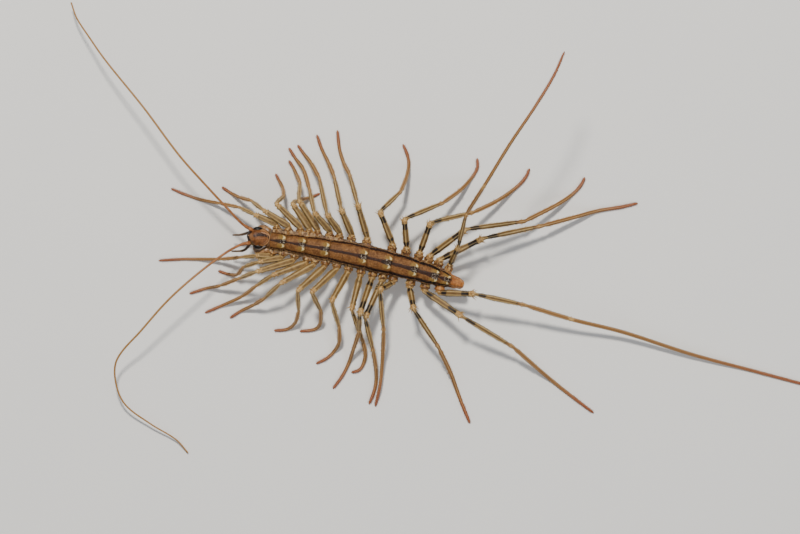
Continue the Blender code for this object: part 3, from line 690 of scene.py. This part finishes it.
whip = Finish("feeler_skin", 0.5)
whip_mottle = whip.noise(3.0, 3.0)
whip_colour = whip.blend(whip_mottle.over(0.5, 0.15), paint(142, 82, 36), paint(186, 120, 68))
whip_colour = whip.blend(whip.mark("joint") * 0.5, whip_colour, paint(78, 40, 16))
whip_colour = whip.blend(whip.mark("foot").over(0.15, 0.15) * 0.75, whip_colour, paint(166, 124, 62))
whip.finish(whip_colour, 0.38 + whip_mottle * 0.25, whip_mottle, 0.02)

for letter in FEELER_ROUTE:
    draw = random.Random(f"feeler {letter}")
    direction = FEELER_ROOT[letter].normalized()
    surface = HEAD_PLACE + HEAD_HALF * direction
    points = [surface - direction * 0.35, *(Vector(place) for place in FEELER_ROUTE[letter])]
    route = smooth_route(points, FEELER_RING / 2)
    length = 0
    rings = []
    for number, place in enumerate(route):
        length += (place - route[number - 1]).length if number else 0
        thick = float(numpy.interp(length, FEELER_REACH, FEELER_THICK)) * FEELER_SWELL[number % 2]
        rings.append((place, thick, {"joint": 1 - number % 2, "foot": min(1, length / 60)}))
    bm = new_mesh("ridge", "joint", "foot")
    frames = tube(bm, rings, FEELER_SIDES)
    for frame_number in range(12, len(frames) - 2, 5):
        ring = frames[frame_number]
        way = ring[1] * 1.2 + beside(ring, draw.uniform(0, 2 * math.pi))
        root = ring[0] + way.normalized() * ring[4] * 0.6
        marks = {"ridge": 0, "joint": 0, "foot": 1}
        add_thorn(bm, root, way, FEELER_HAIR, FEELER_HAIR_WIDE, marks)
    add_piece(f"feeler_{letter}", bm, whip, "feelers", f"antenna_{letter}_base", f"antenna_{letter}_tip")


# Mouth limbs: two jointed palps under the lip and the pair of poison claws, which grow from the
# front of the trunk and curve in below the head. Brown horn, with black tips on the claws, grown
# as one tapering tube each.
PALP_ROOT = {"r": Vector((-0.62, 0.5, -0.6)), "l": Vector((-0.62, -0.5, -0.6))}
PALP_ROUTE = {
    "r": ((-29.6, -0.9, 3.2), (-30.8, -0.95, 2.7)),
    "l": ((-29.2, -3.0, 3.5), (-30.9, -3.15, 2.9)),
}
PALP_THICK = ((0, 0.55, 0.62, 0.95, 1), (0.21, 0.18, 0.14, 0.12, 0.05))
CLAW_ROUTE = (
    (-25.5, 0.7, 3.6), (-26.1, 1.25, 3.6), (-26.8, 1.55, 3.4),
    (-27.4, 1.35, 3.05), (-27.7, 0.8, 2.8), (-27.6, 0.2, 2.7),
)
CLAW_ASIDE = {"r": (-0.08, 0.15), "l": (0.32, 0.4)}
CLAW_THICK = ((0, 0.2, 0.4, 0.58, 0.65, 1), (0.46, 0.54, 0.5, 0.38, 0.26, 0.05))
MOUTH_SIDES, MOUTH_HAIR, MOUTH_HAIR_WIDE = 12, 0.3, 0.025

mouth_horn = Finish("mouth_horn", 0.35, Coat_Weight=0.04)
mouth_mottle = mouth_horn.noise(3.0, 3.0)
mouth_colour = mouth_horn.blend(mouth_mottle.over(0.5, 0.15), paint(66, 48, 34), paint(104, 78, 54))
root_mottle = mouth_horn.noise(2.6, 4.0).over(0.5, 0.1)
root_colour = mouth_horn.blend(root_mottle, paint(126, 86, 47), paint(170, 128, 83))
root_fleck = mouth_horn.noise(4.2, 3.0).over(0.6, 0.05)
root_colour = mouth_horn.blend(root_fleck * 0.8, root_colour, paint(52, 28, 16))
mouth_colour = mouth_horn.blend(mouth_horn.mark("root"), mouth_colour, root_colour)
black_tip = mouth_horn.mark("foot").over(0.93, 0.04)
mouth_colour = mouth_horn.blend(black_tip * 0.9, mouth_colour, paint(26, 14, 12))
mouth_horn.finish(mouth_colour, 0.3 + mouth_mottle * 0.2, mouth_mottle, 0.03)

for sign, letter in ((1, "r"), (-1, "l")):
    draw = random.Random(f"mouth {letter}")
    root = HEAD_PLACE + HEAD_HALF * PALP_ROOT[letter].normalized()
    palp = smooth_route([root, *(Vector(place) for place in PALP_ROUTE[letter])], 0.08)
    aside, lift = CLAW_ASIDE[letter]
    claw = [on_trunk(x, sign * (out + aside), height + lift) for x, out, height in CLAW_ROUTE]
    claw = smooth_route(claw, 0.1)
    limbs = (("palp", palp, PALP_THICK, "palp"), ("poison_claw", claw, CLAW_THICK, "forcipule"))
    for name, route, thick, node in limbs:
        bm = new_mesh("ridge", "foot", "root")
        rings = []
        for number, place in enumerate(route):
            share = number / (len(route) - 1)
            fleshy = clamp((0.97 - share) / 0.08) * (name == "poison_claw")
            rings.append((place, float(numpy.interp(share, *thick)), {"foot": share, "root": fleshy}))
        frames = tube(bm, rings, MOUTH_SIDES)
        for ring in frames[4:-4:2]:
            way = ring[1] + beside(ring, draw.uniform(0, 2 * math.pi))
            hair_root = ring[0] + way.normalized() * ring[4] * 0.8
            add_thorn(bm, hair_root, way, MOUTH_HAIR, MOUTH_HAIR_WIDE, {"foot": 0})
        add_piece(f"{name}_{letter}", bm, mouth_horn, "mouth", f"{node}_{letter}")


# Legs: thirty, each a short hip, three ridged lengths with rows of small thorns and a ring of spurs
# at the far end, and a whip-like foot of many short rings. Straw with dark bands, feet orange brown.
# Each is one tube that grows out of its swelling in the trunk's side.
FOOT_HEIGHT = 0.15
TIP_HEIGHT = 0.06
LEGS = {
    "r01": ((-27.7, 1.8, 5.6), (-29.8, 2.8, 3.8), (-32.7, 3.4, 1.4), (-35.2, 3.9), (-37.3, 4.6),
            (-39.2, 5.4)),
    "r02": ((-26.5, 2.4, 6.2), (-28.2, 3.7, 3.6), (-29.9, 4.2, 1.4), (-31.1, 4.8), (-32.3, 5.6)),
    "r03": ((-24.8, 3.3, 6.4), (-23.8, 4.3, 4.0), (-24.0, 5.5, 1.6), (-24.6, 6.6), (-25.0, 7.4)),
    "r04": ((-22.6, 3.3, 6.2), (-21.9, 3.7, 3.6), (-21.0, 4.0, 1.2), (-20.2, 4.2), (-19.0, 4.7)),
    "r05": ((-21.7, 3.7, 7.0), (-21.6, 6.1, 3.6), (-22.1, 7.2, 1.6), (-22.7, 8.4), (-23.2, 9.2)),
    "r06": ((-19.6, 2.0, 7.4), (-20.3, 5.2, 4.2), (-21.2, 8.0, 1.5), (-22.3, 9.5), (-23.2, 10.9)),
    "r07": ((-17.9, 1.8, 7.2), (-19.0, 6.8, 3.4), (-20.2, 8.9, 1.3), (-21.3, 10.3), (-22.0, 11.3)),
    "r08": ((-16.0, 2.5, 7.4), (-17.0, 7.0, 3.6), (-17.8, 8.9, 1.6), (-18.7, 10.7), (-19.4, 12.7)),
    "r09": ((-13.8, 3.2, 7.6), (-14.9, 7.2, 3.8), (-15.7, 8.8, 1.8), (-16.3, 10.7), (-16.6, 13.3)),
    "r10": ((-10.8, 2.2, 7.0), (-8.0, 4.9, 4.4), (-7.2, 7.0, 2.0), (-6.9, 8.7), (-7.1, 10.0), (-7.7, 11.4)),
    "r11": ((-7.5, 1.2, 7.0), (-2.3, 3.4, 4.0), (0.0, 5.1, 1.8), (1.6, 6.8), (2.4, 8.2), (2.4, 9.5)),
    "r12": ((-4.0, 0.7, 6.8), (1.8, 2.1, 4.2), (4.9, 3.6, 1.8), (7.4, 5.3), (8.9, 6.8), (9.5, 8.1)),
    "r13": ((0.7, -0.2, 6.4), (8.7, 0.9, 3.6), (13.2, 3.2, 1.4), (15.4, 4.7), (16.5, 5.9), (17.0, 6.9)),
    "r14": ((3.1, -1.4, 5.6), (11.1, 0.3, 3.4), (15.6, 1.5, 1.5), (18.9, 2.4), (22.0, 2.9), (24.2, 3.4)),
    "r15": ((-0.3, -2.6, 9.2), (0.7, 1.8, 13.8), (3.1, 5.6, 18.3), (6.4, 11.0, 20.8), (9.5, 15.6, 21.8),
            (12.0, 19.7, 21.5), (13.5, 23.0, 20.4)),
    "l01": ((-27.5, -3.75, 4.9), (-29.6, -3.95, 3.6), (-32.6, -4.2, 1.3), (-35.9, -4.2), (-37.8, -4.2),
            (-40.9, -4.4)),
    "l02": ((-27.1, -4.6, 5.9), (-29.3, -5.3, 4.0), (-30.2, -6.3, 1.8), (-31.4, -6.25), (-32.8, -5.8)),
    "l03": ((-27.4, -5.9, 6.9), (-29.8, -6.8, 4.2), (-32.5, -7.8, 1.6), (-34.5, -8.2), (-36.7, -8.9)),
    "l04": ((-25.3, -6.4, 5.5), (-27.5, -7.8, 4.0), (-29.6, -9.3, 1.6), (-32.5, -10.6), (-34.6, -11.5)),
    "l05": ((-24.2, -7.5, 6.4), (-26.5, -9.6, 3.6), (-27.9, -10.4, 1.8), (-29.8, -11.3), (-31.2, -12.2)),
    "l06": ((-21.9, -8.5, 6.6), (-21.8, -11.3, 3.4), (-22.3, -12.8, 1.4), (-23.4, -13.7), (-25.2, -13.9)),
    "l07": ((-20.0, -8.7, 7.0), (-18.8, -11.2, 3.8), (-18.9, -12.8, 1.4), (-19.6, -13.7), (-21.7, -14.0)),
    "l08": ((-17.3, -9.9, 7.2), (-16.3, -13.5, 3.6), (-16.4, -15.6, 1.4), (-17.2, -16.9), (-18.1, -17.7),
            (-19.5, -18.4)),
    "l09": ((-14.6, -11.0, 6.4), (-13.1, -15.4, 1.8), (-12.8, -17.0, 0.8), (-13.1, -18.5), (-13.7, -19.3),
            (-14.7, -19.6)),
    "l10": ((-13.5, -11.6, 7.6), (-13.6, -14.0, 4.8), (-14.4, -16.4, 2.0), (-15.1, -18.4), (-15.9, -20.0),
            (-17.2, -21.8)),
    "l11": ((-12.8, -12.1, 5.7), (-11.7, -16.7, 3.2), (-11.4, -18.8, 1.4), (-11.35, -20.9), (-11.7, -22.4),
            (-12.3, -23.9)),
    "l12": ((-10.8, -8.3, 7.6), (-10.3, -13.9, 4.6), (-10.4, -16.6, 2.4), (-10.55, -19.0, 1.2),
            (-10.8, -21.3, 0.95), (-11.45, -24.2)),
    "l13": ((-6.3, -10.9, 7.0), (-2.9, -16.1, 4.0), (-1.2, -19.7, 1.5), (-0.3, -22.2), (0.5, -24.3),
            (1.4, -26.5)),
    "l14": ((0.2, -11.9, 6.8), (7.2, -16.1, 3.8), (10.4, -18.9, 1.6), (12.9, -21.0), (15.7, -23.2),
            (18.2, -25.1)),
    "l15": ((1.9, -8.9, 6.2), (8.7, -10.4, 5.2), (15.3, -12.4, 3.6), (22.1, -14.1, 2.2), (31.4, -17.1, 1.0),
            (40.7, -19.6), (52.68, -22.8)),
}
# Each length: how thick it is along its run, how dark its bands are, and its spurs with their reach
LENGTHS = (
    (
        "hip",
        (
            (0, 0.3, 0.5, 0.66, 0.7, 0.76, 0.84, 0.93, 1),
            (0.5, 0.56, 0.62, 0.67, 0.64, 0.5, 0.5, 0.51, 0.42),
        ),
        ((0, 0.2, 0.4, 0.7, 0.85), (0.2, 0.6, 0.2, 0.7, 0)),
        5, 0.36,
    ),
    (
        "thigh",
        ((0, 0.06, 0.2, 0.5, 0.8, 0.89, 0.95, 1), (0.36, 0.34, 0.42, 0.41, 0.34, 0.42, 0.41, 0.3)),
        (
            (0, 0.08, 0.11, 0.2, 0.28, 0.62, 0.7, 0.86, 0.89, 1),
            (0, 0, 0.9, 0.9, 0.1, 0.05, 0.95, 0.95, 0, 0),
        ),
        9, 0.95,
    ),
    (
        "shin",
        ((0, 0.05, 0.15, 0.4, 0.7, 0.89, 0.95, 1), (0.28, 0.22, 0.27, 0.34, 0.31, 0.24, 0.29, 0.27)),
        (
            (0, 0.05, 0.08, 0.2, 0.28, 0.8, 0.84, 0.89, 0.92, 1),
            (0, 0, 0.95, 0.85, 0.1, 0.05, 0.6, 0.6, 0, 0),
        ),
        6, 0.42,
    ),
    (
        "shank",
        ((0, 0.06, 0.2, 0.6, 0.9, 1), (0.26, 0.22, 0.285, 0.28, 0.27, 0.27)),
        ((0, 1), (0.1, 0.1)),
        2, 0.5,
    ),
)
SPUR_SHARE = 0.93
STOUT_FIRST, STOUT_STEP, RAISED_STOUT = 0.84, 0.014, 0.86
FRONT_BASE, FRONT_THIGH, FRONT_KNEE, REAR_HIP = 0.13, 0.2, 0.18, 0.04
BASE_FULL, BASE_END, KNEE_FROM = 0.08, 0.4, 0.88
LENGTH_RING, FIRST_RING, RING_RUN = 0.24, 0.1, 0.76
BAND_PAIRS, BAND_STRENGTH = (5, 9, 10, 12), (0.12, 0.5, 0.75, 1)
LEG_SIDES, LEG_RIDGE = 15, 0.07
SPUR_WIDE = 0.11
LEG_THORN, LEG_THORN_WIDE, LEG_THORN_CHANCE = (0.22, 0.38), 0.036, 0.75
HIP_BRISTLES, HIP_BRISTLE, HIP_BRISTLE_WIDE = 3, (0.8, 1.3), 0.03
FOOT_PITCH, FOOT_SWELL = 0.34, (0.92, 1.06)
FOOT_THICK = ((0, 0.3, 0.75, 0.95, 1), (0.27, 0.26, 0.215, 0.17, 0.09))
BRUSH_FROM = 0.62
BRISTLE_ANGLES, BRISTLE_CHANCE = (1.3, 4.98, 0.5, 2.0, 4.3, 5.7), 0.7
BRISTLE, BRUSH_BRISTLE, BRISTLE_WIDE = (0.2, 0.32), (0.24, 0.42), 0.02
HIP_GAP = 0.42
COXA_OUT, COXA_LEAN = 0.78, 0.2


def leg_points(name, hip, places):
    """Root, hip end, knee, shin end, ankle and the points of the foot."""
    sign = 1 if name[0] == "r" else -1
    out = half_width(hip) * 0.82 + HIP_GAP
    root = on_trunk(hip, sign * (out - 0.5), HIP_HEIGHT)
    knee, shin, ankle, *foot = (Vector((*place, FOOT_HEIGHT)[:3]) for place in places)
    if len(places[-1]) == 2:
        foot[-1].z = TIP_HEIGHT
    lean = (knee - root).to_2d().normalized().to_3d()
    coxa = on_trunk(hip, sign * (out + COXA_OUT), HIP_HEIGHT) + lean * COXA_LEAN
    return [root, coxa, knee, shin, ankle], foot


def bowed_place(start, leave, arrive, end, share):
    """A place on the curve that leaves start towards leave and reaches end from arrive."""
    one = start.lerp(leave, share).lerp(leave.lerp(arrive, share), share)
    two = leave.lerp(arrive, share).lerp(arrive.lerp(end, share), share)
    return one.lerp(two, share)


def length_rings(start, end, ahead, part, thick, bands, stout, base):
    """Rings of one stout length, which bows so that it ends in the direction ahead."""
    run = end - start
    steps = max(5, round(run.length / LENGTH_RING))
    shares = {*thick[0], 0.98, SPUR_SHARE}
    shares = sorted(shares | {FIRST_RING + RING_RUN * step / steps for step in range(steps + 1)})
    leave = start + run / 3
    arrive = end - ahead.normalized() * run.length / 3
    rings = []
    for share in shares:
        radius = stout * float(numpy.interp(share, *thick))
        if part == "thigh":
            radius *= 1 + FRONT_THIGH * (1 - base["rear"]) * (share < KNEE_FROM)
            bulge = max(0, 1 - share / BASE_END) * min(1, share / BASE_FULL)
            radius += FRONT_BASE * (1 - base["rear"]) * bulge
        if part == "hip":
            radius *= 1 + REAR_HIP * base["rear"]
        if share > KNEE_FROM:
            radius *= 1 - FRONT_KNEE * (1 - base["rear"])
        joint = clamp((share - 0.86) / 0.03) + clamp((0.04 - share) / 0.03)
        cup = part == "hip" and 0.6 < share < 0.72
        joint = 0.75 if cup else joint
        tan = {"hip": 0, "thigh": 0, "shin": 0.42 if share > 0.84 else 0.1, "shank": 0.4 + 0.1 * share}
        marks = {
            "band": float(numpy.interp(share, *bands)) * base["strength"],
            "joint": joint * {"hip": 1, "thigh": 1, "shin": 0.35, "shank": 1 - base["plain"]}[part],
            "foot": tan[part],
            "rear": base["rear"],
            "last": base["last"],
            "hip": clamp((0.9 - share) / 0.15) if part == "hip" else 0,
        }
        rings.append((bowed_place(start, leave, arrive, end, share), radius, marks))
    return rings, shares


def foot_rings(shin, ankle, foot, stout, base):
    """Rings of the foot, two to each of its many short joints, resting on the floor."""
    route = smooth_route([ankle, *foot], FOOT_PITCH / 2, before=shin)
    rings = []
    for number, place in enumerate(route):
        share = number / (len(route) - 1)
        radius = stout * float(numpy.interp(share, *FOOT_THICK)) * FOOT_SWELL[number % 2]
        place = Vector((place.x, place.y, max(place.z, radius * 0.97)))
        marks = {"band": 0.25 * (1 - number % 2), "foot": 0.5 + 0.5 * share, "rear": base["rear"]}
        marks.update(joint=0, hip=0, last=0)
        rings.append((place, radius, marks))
    return rings[1:]


def add_leg(name, hip, places):
    draw = random.Random(name)
    pair = int(name[1:])
    stout = RAISED_STOUT if name == "r15" else STOUT_FIRST + STOUT_STEP * (pair - 1)
    base = {
        "strength": float(numpy.interp(pair, BAND_PAIRS, BAND_STRENGTH)),
        "rear": clamp((pair - 5) / 6),
        "plain": pair < 15,
        "last": float(name == "l15"),
    }
    joints, foot = leg_points(name, hip, places)
    rings = []
    spurred = []
    aheads = [joints[1] - joints[0], joints[2] - joints[1], joints[3] - joints[2], foot[0] - joints[3]]
    for (part, thick, bands, spurs, reach), start, end, ahead in zip(LENGTHS, joints, joints[1:], aheads):
        first = len(rings)
        more, shares = length_rings(start, end, ahead, part, thick, bands, stout, base)
        rings += more
        spurred.append((part, first, shares, spurs, reach))
    first_foot = len(rings)
    rings += foot_rings(joints[-2], joints[-1], foot, stout, base)
    bm = new_mesh("ridge", "band", "joint", "foot", "rear", "hip", "last")
    frames = tube(bm, rings, LEG_SIDES, LEG_RIDGE)
    for part, first, shares, spurs, reach in spurred:
        for offset, share in enumerate(shares):
            ring = frames[first + offset]
            marks = {**rings[first + offset][2], "ridge": 1}
            if share == SPUR_SHARE:
                turned = draw.uniform(0, 6)
                for spur in range(spurs):
                    out = beside(ring, turned + 2 * math.pi * (spur + draw.uniform(-0.25, 0.25)) / spurs)
                    way = ring[1] + out * draw.uniform(0.75, 1.3)
                    size = reach * draw.uniform(0.6, 1.0) * (0.45 + 0.55 * base["rear"])
                    joint = draw.uniform(0.6, 1) if part in ("hip", "thigh") else 0.2
                    root = ring[0] + out * ring[4] * 0.75
                    add_thorn(bm, root, way, size, SPUR_WIDE, {**marks, "joint": joint})
            elif 0.08 < share < 0.88 and part != "hip":
                for number in range(5):
                    if draw.random() < LEG_THORN_CHANCE:
                        out = beside(ring, 2 * math.pi * number / 5)
                        way = ring[1] + out * 0.7
                        long = draw.uniform(*LEG_THORN)
                        add_thorn(bm, ring[0] + out * ring[4], way, long, LEG_THORN_WIDE, marks)
            elif part == "hip" and share == 0.86 and pair > 8:
                marks["joint"] = 1
                for _ in range(HIP_BRISTLES):
                    out = beside(ring, draw.uniform(0, 2 * math.pi))
                    way = ring[1] * 0.6 + out
                    long = draw.uniform(*HIP_BRISTLE)
                    add_thorn(bm, ring[0] + out * ring[4], way, long, HIP_BRISTLE_WIDE, marks)
    for number in range(first_foot + 1, len(frames) - 2):
        ring = frames[number]
        share = (number - first_foot) / (len(frames) - first_foot)
        brush = share > BRUSH_FROM
        for angle in BRISTLE_ANGLES if brush else BRISTLE_ANGLES[:4]:
            if brush or draw.random() < BRISTLE_CHANCE:
                out = beside(ring, angle + draw.uniform(-0.4, 0.4))
                long = draw.uniform(*(BRUSH_BRISTLE if brush else BRISTLE))
                way = ring[1] * draw.uniform(1.3, 2.2) + out
                marks = {**rings[number][2], "ridge": 0}
                add_thorn(bm, ring[0] + out * ring[4] * 0.9, way, long, BRISTLE_WIDE, marks)
    for vert in bm.verts:
        vert.co.z = max(vert.co.z, 0)
    add_piece(f"walking_leg_{name}", bm, straw, "legs", f"leg_{name}")


straw = Finish("leg_skin", 0.42, Specular_IOR_Level=0.4)
leg_mottle = straw.noise(2.0, 4.0)
leg_grain = straw.noise(9.0, 2.0)
# Painted highlight: the crests of the leg's ridges are painted pale and the grooves stay darker, as light
# and shade fall on them; the dark bands are lightened on the crests too.
crest_highlight = straw.mark("ridge").over(0.64, 0.3)
leg_colour = straw.blend(straw.mark("rear"), paint(138, 109, 67), paint(114, 86, 46))
leg_colour = straw.blend(leg_mottle.over(0.54, 0.1) * 0.55, leg_colour, paint(80, 56, 30))
leg_colour = straw.blend(crest_highlight * 0.85, leg_colour, paint(206, 177, 120))
leg_colour = straw.blend(leg_grain.over(0.6, 0.05) * 0.45, leg_colour, paint(112, 84, 50))
band = (straw.mark("band") + (leg_mottle - 0.5) * 0.9).over(0.5, 0.1)
leg_colour = straw.blend(band * (1 - crest_highlight * 0.55), leg_colour, paint(28, 20, 20))
joint_colour = straw.blend(leg_grain.over(0.5, 0.12), paint(148, 96, 46), paint(224, 190, 124))
leg_colour = straw.blend(straw.mark("joint") * 0.9, leg_colour, joint_colour)
foot_colour = straw.blend(straw.mark("foot").over(0.8, 0.15), paint(134, 94, 50), paint(150, 80, 52))
# Painted highlight along the crests of the foot's ridges.
foot_colour = straw.blend(crest_highlight * (0.95 - straw.mark("foot") * 0.6), foot_colour, paint(208, 166, 110))
foot_colour = straw.blend(straw.mark("band").over(0.12, 0.1) * 0.3, foot_colour, paint(92, 56, 24))
foot_part = straw.mark("foot").over(0.3, 0.2) * (1 - straw.mark("joint") * 0.8)
leg_colour = straw.blend(foot_part, leg_colour, foot_colour)
hip_colour = straw.blend(leg_mottle.over(0.5, 0.1), paint(112, 72, 34), paint(160, 116, 64))
hip_colour = straw.blend(straw.noise(3.0, 3.0).over(0.58, 0.05) * 0.8, hip_colour, paint(212, 178, 116))
hip_colour = straw.blend(straw.noise(4.2, 3.0).over(0.56, 0.05) * 0.85, hip_colour, paint(42, 22, 16))
last_colour = straw.blend(leg_mottle.over(0.5, 0.1), paint(140, 80, 34), paint(184, 122, 66))
hip_colour = straw.blend(straw.mark("last") * 0.75, hip_colour, last_colour)
leg_colour = straw.blend(straw.mark("hip"), leg_colour, hip_colour)
straw.finish(leg_colour, 0.36 + leg_mottle * 0.25, leg_grain * 0.5 + leg_mottle * 0.5, 0.04)

for letter, hips in HIPS.items():
    for pair, hip in enumerate(hips, 1):
        add_leg(f"{letter}{pair:02}", hip, LEGS[f"{letter}{pair:02}"])
